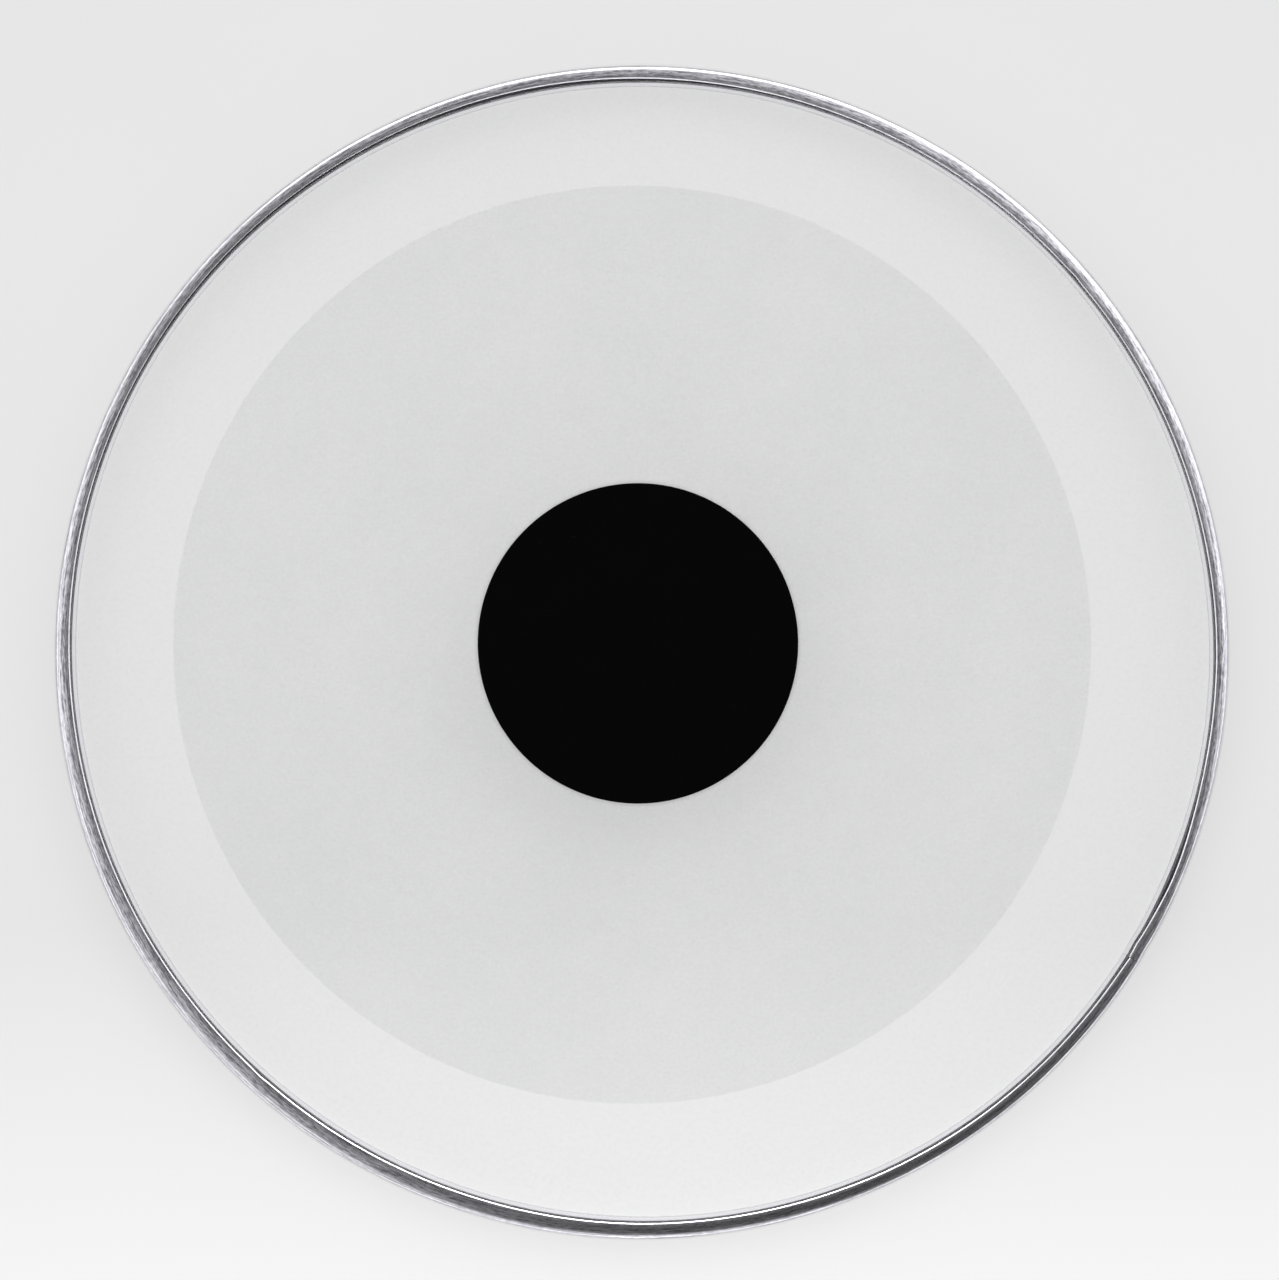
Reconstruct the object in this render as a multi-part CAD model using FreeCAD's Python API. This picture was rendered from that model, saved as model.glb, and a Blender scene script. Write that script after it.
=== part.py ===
import FreeCAD, Part
import math
import os

# Lengths are in millimetres and angles in degrees.
# The head lies flat: the playing face looks up, and the origin is in the middle of the hoop's foot.

# Hoop: one strip of aluminium rolled into a channel that is open on top, next to its inner wall.
# The free edge of the strip rolls over and turns down into the mouth.
hoop_outer_diameter = 367.0
hoop_width = 5.3
hoop_height = 9.5
hoop_wall = 0.6
hoop_shoulder_radius = 1.6
hoop_foot_bevel = 0.7
lip_roll_radius = 0.7
lip_turn_depth = 1.5
mouth_gap = 0.1

# Butt joint of the hoop, and the bar inside the channel that holds the two ends in line
joint_angle = -32.0
joint_gap = 0.1
splice_length = 40.0
splice_height = 2.2

# Batter film: playing face, formed collar, and the hooked hem that is held in the hoop
film_thickness = 0.25
collar_height = 10.0
collar_slope = 80.0
collar_crown_radius = 2.15
collar_root_rise = 0.4
hem_height = 4.4
hem_end_gap = 0.6
hem_slot_length = 13.0
hem_slot_width = 1.1
hem_slot_count = 16

# Resin poured into the channel round the hem
resin_level = 7.4

# Clear damping disc glued under the film, laid by hand a little off the middle of the hoop
patch_diameter = 285.0
patch_thickness = 0.19
patch_offset_x = -3.0
patch_offset_y = 2.4
patch_glue_thickness = 0.05
patch_glue_margin = 0.5

# Black disc glued on the playing face, laid by hand as well
dot_diameter = 100.0
dot_thickness = 0.19
dot_offset_x = -1.2
dot_offset_y = 2.8
dot_glue_thickness = 0.05
dot_glue_margin = 0.4

# One overrun for every cut
cut_overrun = 0.5

# Sizes that follow from those above
hoop_outer_radius = hoop_outer_diameter / 2
hoop_inner_radius = hoop_outer_radius - hoop_width
pocket_inner_radius = hoop_inner_radius + hoop_wall
pocket_outer_radius = hoop_outer_radius - hoop_wall
pocket_floor = hoop_wall
pocket_roof = hoop_height - hoop_wall
pocket_shoulder_bevel = (hoop_shoulder_radius - hoop_wall) * (2 - math.sqrt(2))
lip_end_radius = pocket_inner_radius + film_thickness + mouth_gap
lip_back_radius = lip_end_radius + hoop_wall
lip_foot = hoop_height - lip_turn_depth
hoop_middle_radius = (hoop_inner_radius + hoop_outer_radius) / 2
face_top = hoop_height + collar_height
face_underside = face_top - film_thickness
collar_root_height = hoop_height + collar_root_rise
collar_run = (face_underside - collar_root_height) / math.tan(math.radians(collar_slope))
collar_crown_corner = pocket_inner_radius - collar_run
hem_end_radius = pocket_outer_radius - hem_end_gap
leg_outer_radius = pocket_inner_radius + film_thickness
hem_middle_radius = (leg_outer_radius + hem_end_radius) / 2

centre = FreeCAD.Vector(0, 0, 0)
upright = FreeCAD.Vector(0, 0, 1)
full_turn = 360.0


def section_point(radius, height):
    """Point of a section, which is drawn in the plane of the axis and the X direction."""
    return FreeCAD.Vector(radius, 0, height)


def corner_ends(before, corner, after):
    """Start, middle and end of the curve or flats that take the tip off one corner."""
    tip = section_point(corner[0], corner[1])
    back = (section_point(before[0], before[1]) - tip).normalize()
    ahead = (section_point(after[0], after[1]) - tip).normalize()
    form, size = corner[2:]
    half_angle = back.getAngle(ahead) / 2
    reach = size if form == "bevel" else size / math.tan(half_angle)
    depth = size / math.sin(half_angle) - size
    middle = tip + (back + ahead).normalize() * depth
    return tip + back * reach, middle, tip + ahead * reach


def section_face(corners):
    """Flat face inside corners given as (radius, height, form, size).

    A round corner has an arc, an eased one two flats along the same arc, and a bevelled one a single flat.
    """
    ends = []
    for index, corner in enumerate(corners):
        before = corners[index - 1]
        after = corners[(index + 1) % len(corners)]
        ends.append(corner_ends(before, corner, after))
    edges = []
    for index, (start, middle, end) in enumerate(ends):
        following = ends[(index + 1) % len(ends)][0]
        form = corners[index][2]
        if form == "round":
            edges.append(Part.Arc(start, middle, end).toShape())
        if form == "eased":
            edges.append(Part.makeLine(start, middle))
            edges.append(Part.makeLine(middle, end))
        if form == "bevel":
            edges.append(Part.makeLine(start, end))
        edges.append(Part.makeLine(end, following))
    return Part.Face(Part.Wire(edges))


def turned(face, start_angle, sweep_angle):
    """Solid that a section leaves on its way round the axis."""
    solid = face.revolve(centre, upright, sweep_angle)
    solid.rotate(centre, upright, start_angle)
    return solid


def arc_angle(length, radius):
    """Angle that a length takes up on a circle."""
    return math.degrees(length / radius)


def hoop_channel():
    """Channel ring, open by the width of its butt joint."""
    outline = [
        (hoop_inner_radius, hoop_height, "sharp", 0),
        (hoop_inner_radius, 0, "bevel", hoop_foot_bevel),
        (hoop_outer_radius, 0, "bevel", hoop_foot_bevel),
        (hoop_outer_radius, hoop_height, "eased", hoop_shoulder_radius),
        (lip_end_radius, hoop_height, "eased", lip_roll_radius),
        (lip_end_radius, lip_foot, "sharp", 0),
        (lip_back_radius, lip_foot, "sharp", 0),
        (lip_back_radius, pocket_roof, "sharp", 0),
        (pocket_outer_radius, pocket_roof, "bevel", pocket_shoulder_bevel),
        (pocket_outer_radius, pocket_floor, "sharp", 0),
        (pocket_inner_radius, pocket_floor, "sharp", 0),
        (pocket_inner_radius, hoop_height, "sharp", 0),
    ]
    open_angle = arc_angle(joint_gap, hoop_middle_radius)
    start_angle = joint_angle + open_angle / 2
    return turned(section_face(outline), start_angle, full_turn - open_angle)


def plain_ring(inner_radius, outer_radius, bottom, top, start_angle, sweep_angle):
    """Ring or arc of rectangular section."""
    outline = [
        (inner_radius, bottom, "sharp", 0),
        (outer_radius, bottom, "sharp", 0),
        (outer_radius, top, "sharp", 0),
        (inner_radius, top, "sharp", 0),
    ]
    return turned(section_face(outline), start_angle, sweep_angle)


def hoop_splice():
    """Bar pressed into the floor of the channel, half of it on each side of the butt joint."""
    sweep_angle = arc_angle(splice_length, hoop_middle_radius)
    start_angle = joint_angle - sweep_angle / 2
    top = pocket_floor + splice_height
    return plain_ring(pocket_inner_radius, pocket_outer_radius, pocket_floor, top, start_angle, sweep_angle)


def film_sheet():
    """Film without slots: hem, leg, collar and playing face in one formed sheet."""
    root_shift_share = math.tan(math.radians(90 - collar_slope) / 2)
    crown_shift_share = math.tan(math.radians(collar_slope) / 2)
    root_top = collar_root_height + film_thickness * root_shift_share
    crown_top = collar_crown_corner + film_thickness * crown_shift_share
    outline = [
        (hem_end_radius, hem_height, "sharp", 0),
        (pocket_inner_radius, hem_height, "sharp", 0),
        (pocket_inner_radius, collar_root_height, "sharp", 0),
        (collar_crown_corner, face_underside, "eased", collar_crown_radius),
        (0, face_underside, "sharp", 0),
        (0, face_top, "sharp", 0),
        (crown_top, face_top, "round", collar_crown_radius + film_thickness),
        (leg_outer_radius, root_top, "sharp", 0),
        (leg_outer_radius, hem_height + film_thickness, "sharp", 0),
        (hem_end_radius, hem_height + film_thickness, "sharp", 0),
    ]
    return turned(section_face(outline), 0, full_turn)


def hem_punches():
    """Blocks that punch the ring of slots through the hem."""
    height = film_thickness + 2 * cut_overrun
    corner = FreeCAD.Vector(
        hem_middle_radius - hem_slot_width / 2,
        -hem_slot_length / 2,
        hem_height - cut_overrun,
    )
    punches = []
    for index in range(hem_slot_count):
        punch = Part.makeBox(hem_slot_width, hem_slot_length, height, corner)
        punch.rotate(centre, upright, full_turn * index / hem_slot_count)
        punches.append(punch)
    return punches


def batter_film():
    """Film with the punched hem."""
    return film_sheet().cut(hem_punches())


def locking_resin(film, splice):
    """Resin poured into the channel round the hem and through its slots, up to the resin level."""
    fill = plain_ring(pocket_inner_radius, pocket_outer_radius, pocket_floor, resin_level, 0, full_turn)
    return fill.cut([film, splice])


def disc(diameter, thickness, bottom, offset_x, offset_y):
    """Flat round layer."""
    return Part.makeCylinder(diameter / 2, thickness, FreeCAD.Vector(offset_x, offset_y, bottom))


def patch_layers():
    """Glue and clear disc under the film."""
    glue_bottom = face_underside - patch_glue_thickness
    disc_bottom = glue_bottom - patch_thickness
    glue_diameter = patch_diameter - 2 * patch_glue_margin
    glue = disc(glue_diameter, patch_glue_thickness, glue_bottom, patch_offset_x, patch_offset_y)
    patch = disc(patch_diameter, patch_thickness, disc_bottom, patch_offset_x, patch_offset_y)
    return glue, patch


def dot_layers():
    """Glue and black disc on the playing face."""
    disc_bottom = face_top + dot_glue_thickness
    glue_diameter = dot_diameter - 2 * dot_glue_margin
    glue = disc(glue_diameter, dot_glue_thickness, face_top, dot_offset_x, dot_offset_y)
    dot = disc(dot_diameter, dot_thickness, disc_bottom, dot_offset_x, dot_offset_y)
    return glue, dot


def build():
    """All pieces of the head by name."""
    film = batter_film()
    splice = hoop_splice()
    patch_glue, patch = patch_layers()
    dot_glue, dot = dot_layers()
    return {
        "hoop_channel": hoop_channel(),
        "hoop_splice": splice,
        "locking_resin": locking_resin(film, splice),
        "batter_film": film,
        "patch_glue": patch_glue,
        "damping_patch": patch,
        "dot_glue": dot_glue,
        "centre_dot": dot,
    }


os.makedirs("parts", exist_ok=True)
for name, shape in build().items():
    shape.exportStep("parts/" + name + ".step")
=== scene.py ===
import math

import bmesh
import bpy
from mathutils import Matrix, Vector


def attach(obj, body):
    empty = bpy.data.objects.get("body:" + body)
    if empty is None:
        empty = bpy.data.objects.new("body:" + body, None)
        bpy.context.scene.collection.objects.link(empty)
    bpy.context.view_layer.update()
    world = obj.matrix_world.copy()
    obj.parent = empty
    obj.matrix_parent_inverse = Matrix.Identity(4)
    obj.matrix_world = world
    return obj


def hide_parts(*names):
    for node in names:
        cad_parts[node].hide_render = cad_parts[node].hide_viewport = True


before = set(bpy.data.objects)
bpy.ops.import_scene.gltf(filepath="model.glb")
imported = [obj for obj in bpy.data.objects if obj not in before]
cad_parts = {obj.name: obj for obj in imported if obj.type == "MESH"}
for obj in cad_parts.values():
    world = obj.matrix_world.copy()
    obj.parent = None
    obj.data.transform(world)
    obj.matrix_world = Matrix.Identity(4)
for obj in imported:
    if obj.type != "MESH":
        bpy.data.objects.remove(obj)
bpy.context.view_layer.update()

mm = 0.001
mergeDistance = 0.0005 * mm
white = (1, 1, 1, 1)
scene = bpy.context.scene
scene.view_settings.view_transform = "Standard"
scene.cycles.transparent_max_bounces = 32  # the clear layers lie close together


# Mesh helpers
def newPiece(name, bm, finish, sharpAngle=30):
    mesh = bpy.data.meshes.new(name)
    bm.to_mesh(mesh)
    bm.free()
    mesh.shade_smooth()
    mesh.set_sharp_from_angle(angle=math.radians(sharpAngle))
    mesh.materials.append(finish)
    piece = bpy.data.objects.new(name, mesh)
    scene.collection.objects.link(piece)
    return piece


def drawProfile(bm, corners, closed):
    # corners are (radius, height, rounding, segments); a vertex bevel makes each rounding
    verts = [bm.verts.new((r, 0, z)) for r, z, rounding, segments in corners]
    for a, b in zip(verts, verts[1:]):
        bm.edges.new((a, b))
    if closed:
        bm.edges.new((verts[-1], verts[0]))
    for vert, (r, z, rounding, segments) in zip(verts, corners):
        if rounding:
            bmesh.ops.bevel(bm, geom=[vert], offset=rounding, offset_type="OFFSET",
                            affect="VERTICES", segments=segments, profile=0.5, material=-1,
                            clamp_overlap=True)


def spinRound(bm, angle, steps, sectors):
    # one sector is spun, then copied round and merged, which is much quicker than one long spin
    bmesh.ops.spin(bm, geom=bm.verts[:] + bm.edges[:], axis=(0, 0, 1), cent=(0, 0, 0),
                   angle=angle / sectors, steps=steps // sectors, use_merge=False)
    sector = bm.verts[:] + bm.edges[:] + bm.faces[:]
    for n in range(1, sectors):
        copied = bmesh.ops.duplicate(bm, geom=sector)["geom"]
        moved = [part for part in copied if isinstance(part, bmesh.types.BMVert)]
        bmesh.ops.rotate(bm, verts=moved, matrix=Matrix.Rotation(n * angle / sectors, 3, "Z"))
    bmesh.ops.remove_doubles(bm, verts=bm.verts[:], dist=mergeDistance)


def smoothStep(low, high, value):
    t = min(max((value - low) / (high - low), 0), 1)
    return t * t * (3 - 2 * t)


def swell(angle, centre, width):
    # 1 at the centre and next to 0 two widths away; angles in degrees, round the clock
    away = (angle - centre + 180) % 360 - 180
    return math.exp(-(away / width) ** 2)


def angleOf(vert):
    return math.degrees(math.atan2(vert.co.y, vert.co.x))


def moveOut(vert, shift):
    radius = vert.co.xy.length
    vert.co.xy *= (radius + shift) / radius


# Material helpers
def newFinish(name):
    finish = bpy.data.materials.new(name)
    finish.use_nodes = True
    finish.node_tree.nodes.clear()
    return finish, finish.node_tree


def addNode(tree, kind, **sockets):
    node = tree.nodes.new(kind)
    for label, value in sockets.items():
        setSocket(tree, node.inputs[label.replace("_", " ")], value)
    return node


def setSocket(tree, socket, value):
    if isinstance(value, bpy.types.NodeSocket):
        tree.links.new(value, socket)
    else:
        socket.default_value = value


def calc(tree, operation, *values):
    node = tree.nodes.new("ShaderNodeMath")
    node.operation = operation
    for socket, value in zip(node.inputs, values):
        setSocket(tree, socket, value)
    return node.outputs[0]


def vectorCalc(tree, operation, vector, other=(0, 0, 0)):
    node = addNode(tree, "ShaderNodeVectorMath", Vector=vector)
    node.operation = operation
    setSocket(tree, node.inputs[1], other)
    return node.outputs["Value" if operation == "DOT_PRODUCT" else "Vector"]


def shareOut(tree, first, firstShare, second, secondShare):
    return calc(tree, "ADD", calc(tree, "MULTIPLY", first, firstShare),
                calc(tree, "MULTIPLY", second, secondShare))


def spread(tree, value, low, high, toLow, toHigh):
    node = addNode(tree, "ShaderNodeMapRange", Value=value)
    node.inputs["From Min"].default_value = low
    node.inputs["From Max"].default_value = high
    node.inputs["To Min"].default_value = toLow
    node.inputs["To Max"].default_value = toHigh
    return node.outputs["Result"]


def ramp(tree, value, *stops):
    node = addNode(tree, "ShaderNodeValToRGB", Fac=value)
    stripe = node.color_ramp
    for n, (place, colour) in enumerate(stops):
        stop = stripe.elements[n] if n < 2 else stripe.elements.new(place)
        stop.position = place
        stop.color = (*colour, 1)
    return node.outputs["Color"]


def objectCoords(tree, turn=0):
    coords = tree.nodes.new("ShaderNodeTexCoord")
    mapping = addNode(tree, "ShaderNodeMapping", Vector=coords.outputs["Object"])
    mapping.inputs["Rotation"].default_value = (0, 0, turn)
    return mapping.outputs["Vector"]


# kinds of noise
plain = {"detail": 3, "roughness": 0.55}
cloudy = {"detail": 4, "roughness": 0.6}
mottled = {"detail": 4, "roughness": 0.65}
grainy = {"detail": 2, "roughness": 0.5}
noiseLow = 0.3  # most of a noise lies between these
noiseHigh = 0.7


def noise(tree, vector, scale, kind):
    node = addNode(tree, "ShaderNodeTexNoise", Vector=vector, Scale=scale,
                   Detail=kind["detail"], Roughness=kind["roughness"])
    return node.outputs["Fac"]


def noiseSpread(tree, value, toLow, toHigh):
    return spread(tree, value, noiseLow, noiseHigh, toLow, toHigh)


def noiseRamp(tree, value, lowColour, highColour):
    return ramp(tree, value, (noiseLow, lowColour), (noiseHigh, highColour))


def reliefNormal(tree, height, look):
    bump = addNode(tree, "ShaderNodeBump", Height=height, Strength=look["relief"],
                   Distance=look["reliefDepth"])
    return bump.outputs["Normal"]


def mixShaders(tree, factor, first, second):
    node = addNode(tree, "ShaderNodeMixShader", Fac=factor)
    tree.links.new(first.outputs[0], node.inputs[1])
    tree.links.new(second.outputs[0], node.inputs[2])
    return node


def setSurface(tree, shader):
    out = tree.nodes.new("ShaderNodeOutputMaterial")
    tree.links.new(shader.outputs[0], out.inputs["Surface"])


# Room: camera, floor and light; angles in degrees, places in metres
room = {
    "camera": (-0.72 * mm, 3.85 * mm, 1600 * mm),
    "lens": 143.2,
    "sensorWidth": 36,
    "floorSize": 12.0,
    "floorDrop": 0.02 * mm,
    "floorColour": (0.88, 0.88, 0.88),
    "floorGrain": 6,
    "floorTones": (0.985, 1.0),
    "glowShare": 0.4,
    "glowFront": 0.97,  # level up to frontEnd, and from backStart on; this fall from front to back is painted light
    "glowBack": 0.62,
    "frontEnd": -0.215,
    "backStart": -0.085,
    "background": (0.86, 0.86, 0.87, 1),
    "darkAxis": (0.0, -0.26, 0.966),  # middle of the dark part of the ceiling
    "skyTones": (
        (0.45, 1.5), (0.62, 1.0), (0.80, 0.52), (0.915, 0.40), (0.955, 0.10), (0.985, 0.04),
    ),
    "skyFront": 0.85,
    "skyBack": 1.15,
    "skyShare": 0.52,  # what the sky gives to matt surfaces
    "cards": (  # white cards that only satin surfaces show
        {"azimuth": 85, "spread": 38, "low": 0.22, "high": 0.64, "level": 5.0},
        {"azimuth": -92, "spread": 18, "low": 0.1, "high": 0.88, "level": 0.8},
        {"azimuth": 32, "spread": 40, "low": 0.72, "high": 0.96, "level": 1.1},
        {"azimuth": -155, "spread": 42, "low": 0.72, "high": 0.97, "level": 0.9},
    ),
    "shade": {"azimuth": -50, "spread": 26, "low": 0.44, "high": 0.85, "level": 0.8},  # a dark card
    "cardSoft": 0.08,
    "sharpShare": 0.8,  # what the clear sheets mirror of the sky
    "bounceShare": 0.2,  # what the ring throws of the sky onto the floor
    "lampPower": 16.5,
    "lampPlace": (0.0, 0.005, 1.6),
    "lampSize": 0.2,
}

cameraData = bpy.data.cameras.new("camera")
cameraData.lens = room["lens"]
cameraData.sensor_width = room["sensorWidth"]
camera = bpy.data.objects.new("camera", cameraData)
camera.location = room["camera"]
scene.collection.objects.link(camera)
scene.camera = camera


def floorFinish():
    finish, tree = newFinish("paleFloor")
    coords = objectCoords(tree)
    tone = noiseSpread(tree, noise(tree, coords, room["floorGrain"], plain), *room["floorTones"])
    shade = addNode(tree, "ShaderNodeVectorMath", Vector=room["floorColour"])
    shade.operation = "SCALE"
    setSocket(tree, shade.inputs["Scale"], tone)
    matt = addNode(tree, "ShaderNodeBsdfDiffuse", Color=shade.outputs["Vector"])
    # painted light: the floor's glow is brighter towards the front and dimmer towards the back
    place = addNode(tree, "ShaderNodeSeparateXYZ", Vector=coords)
    level = spread(tree, place.outputs["Y"], room["frontEnd"], room["backStart"],
                   room["glowFront"], room["glowBack"])
    glow = addNode(tree, "ShaderNodeEmission", Color=white, Strength=level)
    path = tree.nodes.new("ShaderNodeLightPath")
    seen = calc(tree, "MAXIMUM", path.outputs["Is Camera Ray"], path.outputs["Is Glossy Ray"])
    seen = calc(tree, "MAXIMUM", seen, path.outputs["Is Transmission Ray"])
    setSurface(tree, mixShaders(tree, calc(tree, "MULTIPLY", seen, room["glowShare"]), matt, glow))
    return finish


floorMesh = bmesh.new()
bmesh.ops.create_grid(floorMesh, x_segments=2, y_segments=2, size=room["floorSize"] / 2)
floor = newPiece("floor", floorMesh, floorFinish())
floor.location.z = -room["floorDrop"]


def cardLight(sky, direction, height, card):
    azimuth = math.radians(card["azimuth"])
    flat = vectorCalc(sky, "NORMALIZE", vectorCalc(sky, "MULTIPLY", direction, (1, 1, 0)))
    ahead = vectorCalc(sky, "DOT_PRODUCT", flat, (math.cos(azimuth), math.sin(azimuth), 0))
    edge = math.cos(math.radians(card["spread"]))
    soft = room["cardSoft"]
    across = spread(sky, ahead, edge - soft, edge + soft, 0, 1)
    above = spread(sky, height, card["low"] - soft, card["low"] + soft, 0, 1)
    below = spread(sky, height, card["high"] - soft, card["high"] + soft, card["level"], 0)
    return calc(sky, "MULTIPLY", across, calc(sky, "MULTIPLY", above, below))


def makeSky():
    world = bpy.data.worlds.new("softRoom")
    scene.world = world
    world.use_nodes = True
    sky = world.node_tree
    sky.nodes.clear()
    direction = sky.nodes.new("ShaderNodeTexCoord").outputs["Generated"]
    place = addNode(sky, "ShaderNodeSeparateXYZ", Vector=direction)
    path = sky.nodes.new("ShaderNodeLightPath")
    fromDark = vectorCalc(sky, "DOT_PRODUCT", direction, room["darkAxis"])
    tone = ramp(sky, fromDark, *[(at, (level, level, level)) for at, level in room["skyTones"]])
    side = spread(sky, place.outputs["Y"], -1, 1, room["skyFront"], room["skyBack"])
    bounced = calc(sky, "MINIMUM", path.outputs["Diffuse Depth"], 1)  # 1 after a matt surface
    mirrored = spread(sky, bounced, 0, 1, 1 - room["skyShare"], room["bounceShare"] - room["skyShare"])
    share = calc(sky, "MULTIPLY_ADD", path.outputs["Is Glossy Ray"], mirrored, room["skyShare"])
    level = calc(sky, "MULTIPLY", calc(sky, "MULTIPLY", tone, side), share)
    shade = cardLight(sky, direction, place.outputs["Z"], room["shade"])
    level = calc(sky, "MULTIPLY", level, calc(sky, "SUBTRACT", 1, shade))
    sharp = path.outputs["Is Singular Ray"]  # from the clear sheets, which don't mirror the cards
    level = calc(sky, "MULTIPLY", level, spread(sky, sharp, 0, 1, 1, room["sharpShare"]))
    satin = calc(sky, "SUBTRACT", path.outputs["Is Glossy Ray"], sharp)
    direct = calc(sky, "MULTIPLY", satin, calc(sky, "SUBTRACT", 1, bounced))
    for card in room["cards"]:
        light = cardLight(sky, direction, place.outputs["Z"], card)
        level = calc(sky, "MULTIPLY_ADD", light, direct, level)
    lit = addNode(sky, "ShaderNodeBackground", Color=white, Strength=level)
    behind = addNode(sky, "ShaderNodeBackground", Color=room["background"])
    out = sky.nodes.new("ShaderNodeOutputWorld")
    mix = mixShaders(sky, path.outputs["Is Camera Ray"], lit, behind)
    sky.links.new(mix.outputs[0], out.inputs["Surface"])


makeSky()
lampData = bpy.data.lights.new("softLamp", "AREA")
lampData.energy = room["lampPower"]
lampData.size = room["lampSize"]
lamp = bpy.data.objects.new("softLamp", lampData)
lamp.location = room["lampPlace"]
lamp.rotation_euler = (-Vector(room["lampPlace"])).to_track_quat("-Z", "Y").to_euler()
lamp.visible_glossy = False  # the room gives the reflections
scene.collection.objects.link(lamp)
print("room ready")

# Hoop: one rolled aluminium strip, butted at the joint; angles in degrees
hoop = {
    "inner": 178.2 * mm,
    "outer": 183.5 * mm,
    "height": 9.5 * mm,
    "wall": 0.6 * mm,
    "lipEnd": 179.15 * mm,
    "lipDepth": 1.5 * mm,
    "beadWidth": 0.38 * mm,  # the bright slope at the lip
    "beadDrop": 0.25 * mm,
    "beadEase": 0.07 * mm,
    "landCorner": 181.1 * mm,  # from here the top falls away to the shoulder
    "landCurve": 0.7 * mm,
    "shoulderDrop": 0.40 * mm,
    "shoulder": 1.35 * mm,
    "shoulderStart": 181.7 * mm,  # the polished part of the top, also brightened as a painted highlight, begins here
    "shoulderEnd": 182.4 * mm,
    "pocketCurve": 0.5 * mm,
    "foot": 0.7 * mm,
    "edge": 0.06 * mm,
    "taperWidth": 0.38 * mm,  # the inner wall thins towards its rim
    "taperDrop": 1.2 * mm,
    "jointAngle": -32,
    "jointGap": 0.1 * mm,
    "steps": 720,
    "sectors": 10,
    "innerFootSegments": 4,
    "outerFootSegments": 6,
    "shoulderSegments": 12,
    "landSegments": 8,
    "beadTopSegments": 3,
    "beadFootSegments": 4,
    "pocketSegments": 3,
    "edgeSegments": 2,
    "rimSegments": 3,
    "taperSegments": 4,
    "sharpAngle": 40,
    "bendOuter": 183.3 * mm,  # the lip's bends fade out between these radii and heights
    "bendInner": 180.4 * mm,
    "bendLow": 6.0 * mm,
    "bendHigh": 7.5 * mm,
    "bow": 0.75 * mm,
    "bowAngle": -23,
    "bowNear": 4.0,
    "bowFar": 6.5,
    "jog": 0.35 * mm,
    "jogWidth": 1.2,
    "nick": 0.2 * mm,
    "nickAngles": (-132, 41),
    "nickWidth": 0.7,
    "ripple": 0.05 * mm,
    "ripples": ((5, 0), (11, 40)),  # waves in a turn, and where they start, in degrees
    "dip": 0.2 * mm,
    "dipAngle": -30.5,
    "dipWidth": 0.9,
    "waver": 0.035 * mm,
    "wavers": ((3, 0.6), (7, 2.0)),  # waves in a turn, and where they start, in radians
}
rim = {  # the mouth lies off the middle and is oval, as bent by hand
    "offset": (0.25 * mm, 0.48 * mm),
    "inward": 0.15 * mm,
    "oval": 0.61 * mm,
    "ovalAngle": -38.5,
    "ease": 0.8,
    "mouth": 0.19 * mm,
    "wideMouth": 0.6 * mm,
    "wideAngle": 105,
    "wideWidth": 36,
    "filmStart": 172 * mm,
    "filmEnd": 178 * mm,
}
aluminium = {
    "streaks": (70, 2000, 2000),  # along the ring, across it and upright
    "mottle": (420, 2200, 2200),
    "scratches": (60, 9000, 9000),
    "streakShare": 0.5,
    "mottleShare": 0.5,
    "dull": (0.22, 0.215, 0.25),
    "bright": (0.86, 0.855, 0.90),
    "dullAt": 0.41,
    "middleAt": 0.5,
    "brightAt": 0.59,
    "roughness": (0.28, 0.14),  # dull and bright
    # polish here also paints light and shade: the bead and shoulder are brightened as painted
    # highlights
    "polishAndLightReach": 0.09,
    "beadPolishAndHighlight": 0.75,
    "wallPolish": 0.6,
    "shoulderPolishAndHighlight": 0.5,
    "scratchRelief": 0.4,
    "mottleRelief": 0.6,
    "relief": 0.06,
    "reliefDepth": 0.03 * mm,
}


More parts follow.
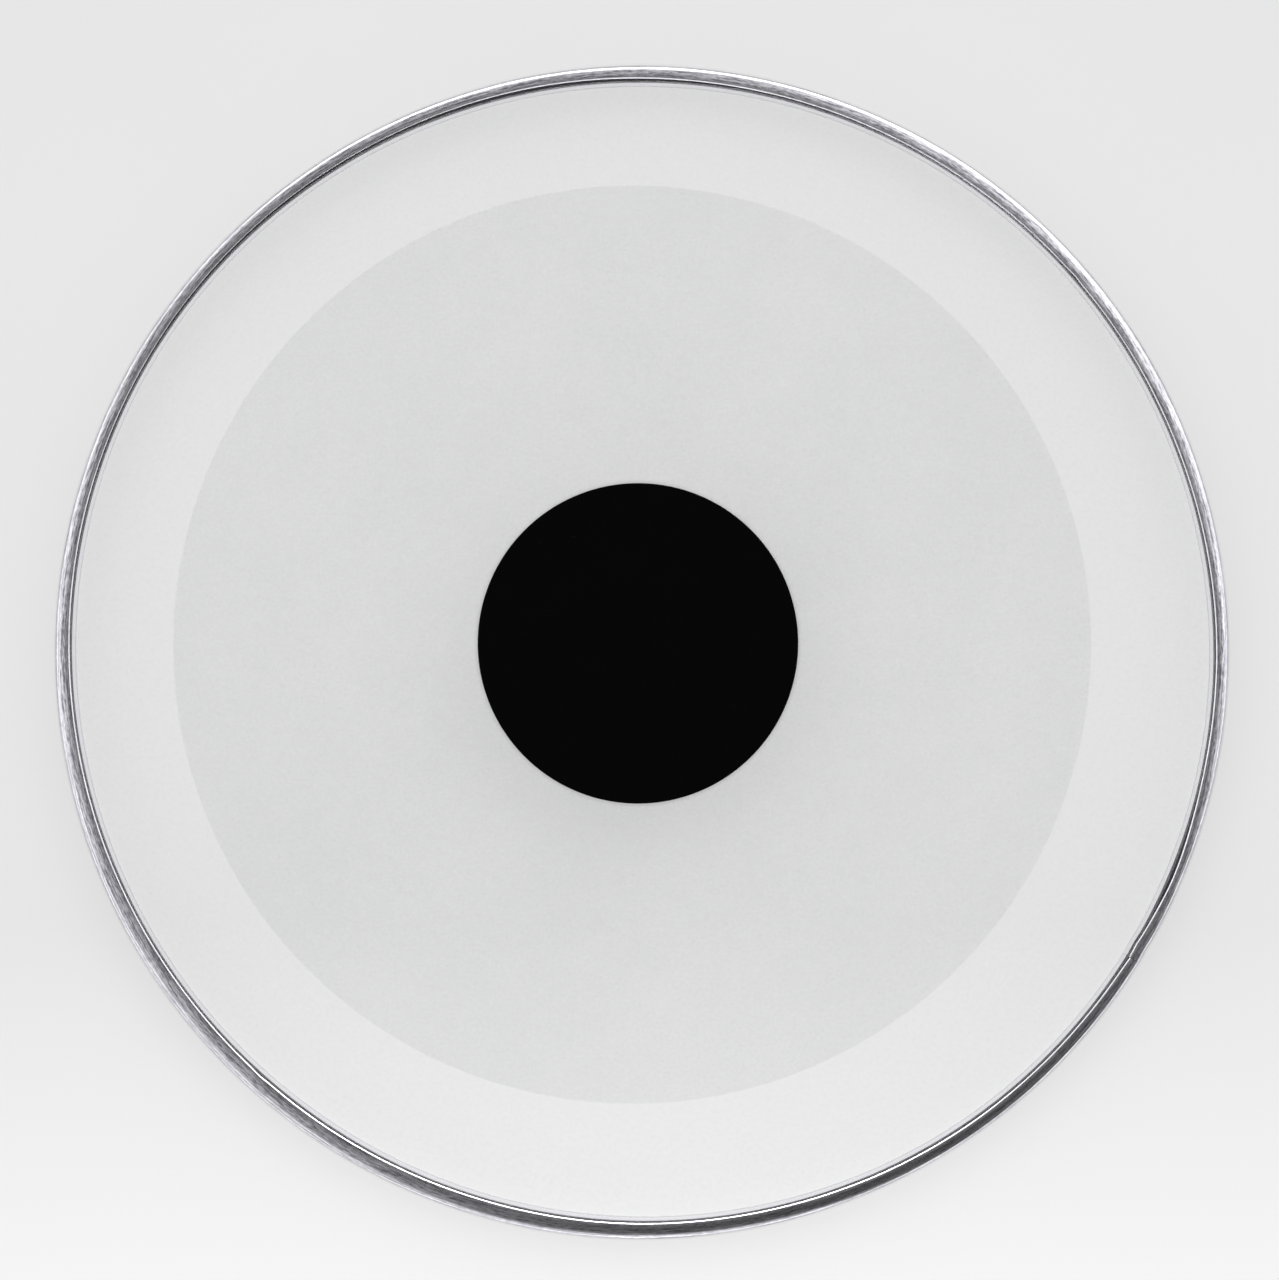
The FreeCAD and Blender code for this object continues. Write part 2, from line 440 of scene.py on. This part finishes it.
def aluminiumFinish():
    finish, tree = newFinish("rolledAluminium")
    turn = math.pi - math.radians(hoop["jointAngle"])  # the pattern's seam lies in the joint
    x, y, z = addNode(tree, "ShaderNodeSeparateXYZ", Vector=objectCoords(tree, turn)).outputs
    angle = calc(tree, "ARCTAN2", y, x)
    radius = calc(tree, "SQRT", calc(tree, "ADD", calc(tree, "MULTIPLY", x, x),
                                     calc(tree, "MULTIPLY", y, y)))
    run = calc(tree, "MULTIPLY", angle, hoop["outer"])
    ring = addNode(tree, "ShaderNodeCombineXYZ", X=run, Y=radius, Z=z).outputs["Vector"]
    streaks = noise(tree, vectorCalc(tree, "MULTIPLY", ring, aluminium["streaks"]), 1, cloudy)
    mottle = noise(tree, vectorCalc(tree, "MULTIPLY", ring, aluminium["mottle"]), 1, mottled)
    scratches = noise(tree, vectorCalc(tree, "MULTIPLY", ring, aluminium["scratches"]), 1, grainy)
    both = shareOut(tree, streaks, aluminium["streakShare"], mottle, aluminium["mottleShare"])
    # painted light and shade: the polish attribute pushes the tone towards bright or dull metal,
    # besides evening the streaks and roughness
    polishAndPaintedLight = tree.nodes.new("ShaderNodeAttribute")
    polishAndPaintedLight.attribute_name = "polishAndPaintedLight"
    amount = calc(tree, "ABSOLUTE", polishAndPaintedLight.outputs["Fac"])
    wornAndLitLevel = calc(tree, "MULTIPLY_ADD", polishAndPaintedLight.outputs["Fac"], aluminium["polishAndLightReach"],
                aluminium["middleAt"])
    evenedAndLitTone = calc(tree, "MULTIPLY_ADD", amount, calc(tree, "SUBTRACT", wornAndLitLevel, both), both)
    colour = ramp(tree, evenedAndLitTone, (aluminium["dullAt"], aluminium["dull"]),
                  (aluminium["brightAt"], aluminium["bright"]))
    rough = noiseSpread(tree, evenedAndLitTone, *aluminium["roughness"])
    height = shareOut(tree, scratches, aluminium["scratchRelief"], mottle, aluminium["mottleRelief"])
    setSurface(tree, addNode(tree, "ShaderNodeBsdfPrincipled", Base_Color=colour, Roughness=rough,
                             Metallic=1.0, Normal=reliefNormal(tree, height, aluminium)))
    return finish


def ovalShift(angle):
    a = math.radians(angle)
    across = math.cos(2 * (a - math.radians(rim["ovalAngle"])))
    moved = rim["offset"][0] * math.cos(a) + rim["offset"][1] * math.sin(a)
    return moved + rim["oval"] * across - rim["inward"]


def rimShift(angle):
    # the film and the inner wall follow the mouth and leave it open
    oval = ovalShift(angle)
    wide = rim["wideMouth"] * swell(angle, rim["wideAngle"], rim["wideWidth"])
    return min(oval, rim["ease"] * oval) - wide - rim["mouth"]


def lipShift(angle):
    bowWidth = hoop["bowNear"] if angle < hoop["bowAngle"] else hoop["bowFar"]
    bow = hoop["bow"] * swell(angle, hoop["bowAngle"], bowWidth)
    past = (hoop["jointAngle"] - angle) % 360
    jog = hoop["jog"] * math.exp(-past / hoop["jogWidth"])
    nicks = hoop["nick"] * sum(swell(angle, at, hoop["nickWidth"]) for at in hoop["nickAngles"])
    waves = sum(math.sin(math.radians(angle * count + start)) for count, start in hoop["ripples"])
    return ovalShift(angle) + bow + jog + nicks + hoop["ripple"] * waves


def handShift(angle):
    # the ring isn't quite round, as bent by rollers, and stays inside its true circle
    a = math.radians(angle)
    dip = hoop["dip"] * swell(angle, hoop["dipAngle"], hoop["dipWidth"])
    waves = sum(math.sin(count * a + start) for count, start in hoop["wavers"])
    return hoop["waver"] * (waves - len(hoop["wavers"])) - dip


def onInnerWall(radius):
    return radius < hoop["inner"] + hoop["wall"] + hoop["edge"]


def hoopShift(angle, radius, height):
    high = smoothStep(hoop["bendLow"], hoop["bendHigh"], height)
    if onInnerWall(radius):
        high = 0  # the inner wall stays upright
    near = smoothStep(hoop["bendOuter"], hoop["bendInner"], radius)
    return near * (high * lipShift(angle) + (1 - high) * rimShift(angle)) + handShift(angle)


def polishAndPaintedLightAt(radius, height):
    # 1 is worn bright, -1 is dull, 0 is streaked; the bright and dull bands also stand for painted
    # highlights and painted shade
    top, wall, edge = hoop["height"], hoop["wall"], hoop["edge"]
    if onInnerWall(radius):
        # painted shade: the inner wall's top is dull, for the dark line in the mouth; its faces are
        # bright as painted light
        return -1 if height > top - edge / 2 else 1
    if radius < hoop["lipEnd"] + hoop["beadWidth"] + edge and height > top - hoop["lipDepth"] + edge:
        # painted highlight on the bead's slope; painted shade on the lip's face below it, in the mouth
        return aluminium["beadPolishAndHighlight"] if height > top - hoop["beadDrop"] else -1
    if radius > hoop["outer"] - edge and height < top - hoop["shoulderDrop"] - hoop["shoulder"] + edge:
        return aluminium["wallPolish"]
    if radius > hoop["landCorner"] and height > top - wall - hoop["shoulderDrop"] - hoop["shoulder"]:
        # painted highlight: the shoulder is brightened and evened towards its outer edge
        onShoulder = smoothStep(hoop["shoulderStart"], hoop["shoulderEnd"], radius)
        return aluminium["shoulderPolishAndHighlight"] * onShoulder
    return 0


def hoopCorners():
    inner, outer, top, wall = hoop["inner"], hoop["outer"], hoop["height"], hoop["wall"]
    lip, land, edge = hoop["lipEnd"], hoop["landCorner"], hoop["edge"]
    lipFoot = top - hoop["lipDepth"]
    sharp = hoop["edgeSegments"]
    pocket = hoop["pocketCurve"], hoop["pocketSegments"]
    return [
        (inner, 0, hoop["foot"], hoop["innerFootSegments"]),
        (outer, 0, hoop["foot"], hoop["outerFootSegments"]),
        (outer, top - hoop["shoulderDrop"], hoop["shoulder"], hoop["shoulderSegments"]),
        (land, top, hoop["landCurve"], hoop["landSegments"]),
        (lip + hoop["beadWidth"], top, hoop["beadEase"], hoop["beadTopSegments"]),
        (lip, top - hoop["beadDrop"], hoop["beadEase"], hoop["beadFootSegments"]),
        (lip, lipFoot, edge, sharp),
        (lip + wall, lipFoot, edge, sharp),
        (lip + wall, top - wall, edge, sharp),
        (land, top - wall, *pocket),
        (outer - wall, top - wall - hoop["shoulderDrop"], *pocket),
        (outer - wall, wall, edge, sharp),
        (inner + wall, wall, edge, sharp),
        (inner + wall, top, edge, hoop["rimSegments"]),
        (inner + hoop["taperWidth"], top, edge, hoop["rimSegments"]),
        (inner, top - hoop["taperDrop"], hoop["taperWidth"], hoop["taperSegments"]),
    ]


def makeHoop(finish):
    bm = bmesh.new()
    drawProfile(bm, hoopCorners(), True)
    halfGap = hoop["jointGap"] / 2 / hoop["outer"]
    start = Matrix.Rotation(math.radians(hoop["jointAngle"]) + halfGap, 3, "Z")
    bmesh.ops.rotate(bm, verts=bm.verts[:], matrix=start)
    spinRound(bm, 2 * math.pi - 2 * halfGap, hoop["steps"], hoop["sectors"])
    ends = [edge for edge in bm.edges if edge.is_boundary]
    bmesh.ops.holes_fill(bm, edges=ends, sides=0)
    bmesh.ops.recalc_face_normals(bm, faces=bm.faces[:])
    # painted light and shade, together with polish: a level per vertex that the aluminium finish reads
    polishAndPaintedLight = bm.verts.layers.float.new("polishAndPaintedLight")
    for vert in bm.verts:
        radius, height = vert.co.xy.length, vert.co.z
        vert[polishAndPaintedLight] = polishAndPaintedLightAt(radius, height)
        moveOut(vert, hoopShift(angleOf(vert), radius, height))
    return newPiece("hoop", bm, finish, hoop["sharpAngle"])


aluminiumSheet = aluminiumFinish()
hoopPiece = makeHoop(aluminiumSheet)
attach(hoopPiece, "root")
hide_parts("hoop_channel")
print("hoop ready")

# Film: one clear formed sheet
film = {
    "thickness": 0.24 * mm,
    "top": 19.495 * mm,  # a hair apart from the glue, as layers in one plane show stripes
    "faceRings": (60 * mm, 140 * mm, 172 * mm),
    "legOuter": 179.05 * mm,
    "rootHeight": 9.9 * mm,
    "rootCurve": 0.6 * mm,
    "slope": 84,
    "crownRadius": 2.5 * mm,
    "hemOut": 182.3 * mm,
    "hemHeight": 4.65 * mm,
    "hemCurve": 0.4 * mm,
    "steps": 500,
    "sectors": 10,
    "crownSegments": 14,
    "rootSegments": 5,
    "hemSegments": 3,
    "sharpAngle": 40,
    "reflectance": 0.02,
    "tintLow": (0.996, 0.997, 0.997),
    "tintHigh": (0.999, 0.9995, 0.9995),
    "haze": 0.02,
}
clear = {  # the finish of the film and of the patch
    "smudge": 28,
    "grain": 900,
    "hazeColour": (0.85, 0.85, 0.86, 1),
    "hazeLow": 0.45,
    "hazeHigh": 0.8,
    "shineRoughness": 0.0,  # a true mirror, by which the sky tells these sheets from the metal
    "facingBlend": 0.5,
    "facingPower": 5,
    "passing": (0.994, 0.994, 0.994, 1),
}


def clearFinish(name, sheet):
    finish, tree = newFinish(name)
    coords = objectCoords(tree)
    smudge = noise(tree, coords, clear["smudge"], cloudy)
    grain = noise(tree, coords, clear["grain"], grainy)
    tint = noiseRamp(tree, smudge, sheet["tintLow"], sheet["tintHigh"])
    window = addNode(tree, "ShaderNodeBsdfTransparent", Color=tint)
    shine = addNode(tree, "ShaderNodeBsdfGlossy", Roughness=clear["shineRoughness"])
    haze = addNode(tree, "ShaderNodeBsdfDiffuse", Color=clear["hazeColour"])
    weight = addNode(tree, "ShaderNodeLayerWeight", Blend=clear["facingBlend"])
    grazing = calc(tree, "POWER", weight.outputs["Facing"], clear["facingPower"])
    factor = calc(tree, "MULTIPLY_ADD", grazing, 1 - sheet["reflectance"], sheet["reflectance"])
    shader = mixShaders(tree, factor, window, shine)
    dust = spread(tree, grain, clear["hazeLow"], clear["hazeHigh"], 0.0, sheet["haze"])
    shader = mixShaders(tree, dust, shader, haze)
    path = tree.nodes.new("ShaderNodeLightPath")  # lamps and bounced light pass straight through
    for ray in ("Is Diffuse Ray", "Is Shadow Ray"):
        through = addNode(tree, "ShaderNodeBsdfTransparent", Color=clear["passing"])
        shader = mixShaders(tree, path.outputs[ray], shader, through)
    setSurface(tree, shader)
    return finish


def filmCorners():
    # the outer surface, from the middle to the hem
    slope, top, leg = math.radians(film["slope"]), film["top"], film["legOuter"]
    crown = leg - (top - film["rootHeight"]) / math.tan(slope)
    crownCurve = film["crownRadius"] * math.tan(slope / 2)
    return [
        (0, top, 0, 0),
        *[(ringRadius, top, 0, 0) for ringRadius in film["faceRings"]],
        (crown, top, crownCurve, film["crownSegments"]),
        (leg, film["rootHeight"], film["rootCurve"], film["rootSegments"]),
        (leg, film["hemHeight"], film["hemCurve"], film["hemSegments"]),
        (film["hemOut"], film["hemHeight"], 0, 0),
    ]


def makeFilm():
    bm = bmesh.new()
    drawProfile(bm, filmCorners(), False)
    spinRound(bm, 2 * math.pi, film["steps"], film["sectors"])
    bmesh.ops.dissolve_degenerate(bm, edges=bm.edges[:], dist=mergeDistance)
    bmesh.ops.recalc_face_normals(bm, faces=bm.faces[:])
    middle = min(bm.faces, key=lambda face: face.calc_center_median().xy.length)
    if middle.normal.z < 0:
        bmesh.ops.reverse_faces(bm, faces=bm.faces[:])
    bmesh.ops.solidify(bm, geom=bm.faces[:], thickness=film["thickness"])
    for vert in bm.verts:
        onRim = smoothStep(rim["filmStart"], rim["filmEnd"], vert.co.xy.length)
        if onRim:
            moveOut(vert, onRim * rimShift(angleOf(vert)))
    return newPiece("film", bm, clearFinish("clearFilm", film), film["sharpAngle"])


filmPiece = makeFilm()
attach(filmPiece, "root")
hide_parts("batter_film")
print("film ready")

# Discs: the clear patch under the film and the black dot on top
discs = {"inset": 0.4 * mm, "edgeSegments": 3, "sharpAngle": 50}


def makeDisc(name, disc, finish):
    bm = bmesh.new()
    bmesh.ops.create_circle(bm, cap_ends=True, cap_tris=False, segments=disc["segments"],
                            radius=disc["radius"])
    grown = bmesh.ops.extrude_face_region(bm, geom=bm.faces[:])
    lifted = [part for part in grown["geom"] if isinstance(part, bmesh.types.BMVert)]
    bmesh.ops.translate(bm, verts=lifted, vec=(0, 0, disc["thickness"]))
    bmesh.ops.recalc_face_normals(bm, faces=bm.faces[:])
    level = disc["thickness"] / 2
    rims = [edge for edge in bm.edges if abs(edge.verts[0].co.z - edge.verts[1].co.z) < level]
    bmesh.ops.bevel(bm, geom=rims, offset=disc["edge"], offset_type="OFFSET", affect="EDGES",
                    segments=discs["edgeSegments"], profile=0.5, material=-1)
    caps = [face for face in bm.faces if len(face.verts) == disc["segments"]]
    bmesh.ops.inset_individual(bm, faces=caps, thickness=discs["inset"], use_even_offset=True)
    bmesh.ops.translate(bm, verts=bm.verts[:], vec=(*disc["place"], disc["under"]))
    return newPiece(name, bm, finish, discs["sharpAngle"])


patch = {
    "radius": 142.5 * mm,
    "thickness": 0.19 * mm,
    "edge": 0.05 * mm,
    "place": (-3.0 * mm, 2.4 * mm),
    "under": 19.005 * mm,
    "segments": 512,
    "reflectance": 0.012,
    "tintLow": (0.961, 0.962, 0.963),
    "tintHigh": (0.973, 0.974, 0.974),
    "haze": 0.02,
}
patchPiece = makeDisc("patch", patch, clearFinish("clearPatch", patch))
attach(patchPiece, "root")
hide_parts("damping_patch")

dot = {
    "radius": 49.75 * mm,
    "thickness": 0.189 * mm,
    "edge": 0.06 * mm,
    "place": (-1.2 * mm, 2.8 * mm),
    "under": 19.551 * mm,
    "segments": 384,
    "black": (0.0009, 0.0009, 0.0009),
    "dust": (0.02, 0.02, 0.02),
    "speckScale": 130,
    "speckSize": 0.03,
    "cloud": 60,
    "grain": 2200,
    "roughness": (0.42, 0.5),
    "gloss": 0.02,
    "relief": 0.12,
    "reliefDepth": 0.02 * mm,
}


def satinBlackFinish():
    finish, tree = newFinish("satinBlack")
    coords = objectCoords(tree)
    cloud = noise(tree, coords, dot["cloud"], cloudy)
    grain = noise(tree, coords, dot["grain"], grainy)
    specks = addNode(tree, "ShaderNodeTexVoronoi", Vector=coords, Scale=dot["speckScale"])
    dust = spread(tree, specks.outputs["Distance"], 0.0, dot["speckSize"], 1.0, 0.0)
    colour = ramp(tree, dust, (0.0, dot["black"]), (1.0, dot["dust"]))
    rough = noiseSpread(tree, cloud, *dot["roughness"])
    setSurface(tree, addNode(tree, "ShaderNodeBsdfPrincipled", Base_Color=colour, Roughness=rough,
                             Specular_IOR_Level=dot["gloss"], Normal=reliefNormal(tree, grain, dot)))
    return finish


dotPiece = makeDisc("dot", dot, satinBlackFinish())
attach(dotPiece, "root")
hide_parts("centre_dot")
print("discs ready")

# Solids that stay as they are get their finishes
resin = {
    "scale": 220,
    "dark": (0.030, 0.029, 0.034),
    "pale": (0.050, 0.049, 0.056),
    "roughness": (0.35, 0.5),
}
glue = {
    "scale": 45,
    "tintLow": (0.995, 0.995, 0.995),
    "tintHigh": (0.999, 0.999, 0.999),
}


def resinFinish():
    finish, tree = newFinish("castResin")
    cloud = noise(tree, objectCoords(tree), resin["scale"], plain)
    colour = noiseRamp(tree, cloud, resin["dark"], resin["pale"])
    rough = noiseSpread(tree, cloud, *resin["roughness"])
    setSurface(tree, addNode(tree, "ShaderNodeBsdfPrincipled", Base_Color=colour, Roughness=rough))
    return finish


def glueFinish():
    finish, tree = newFinish("clearGlue")
    cloud = noise(tree, objectCoords(tree), glue["scale"], plain)
    tint = noiseRamp(tree, cloud, glue["tintLow"], glue["tintHigh"])
    setSurface(tree, addNode(tree, "ShaderNodeBsdfTransparent", Color=tint))
    return finish


def setFinish(node, finish):
    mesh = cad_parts[node].data
    mesh.materials.clear()
    mesh.materials.append(finish)


clearGlue = glueFinish()
setFinish("patch_glue", clearGlue)
setFinish("dot_glue", clearGlue)
setFinish("locking_resin", resinFinish())
setFinish("hoop_splice", aluminiumSheet)
print("solids finished")
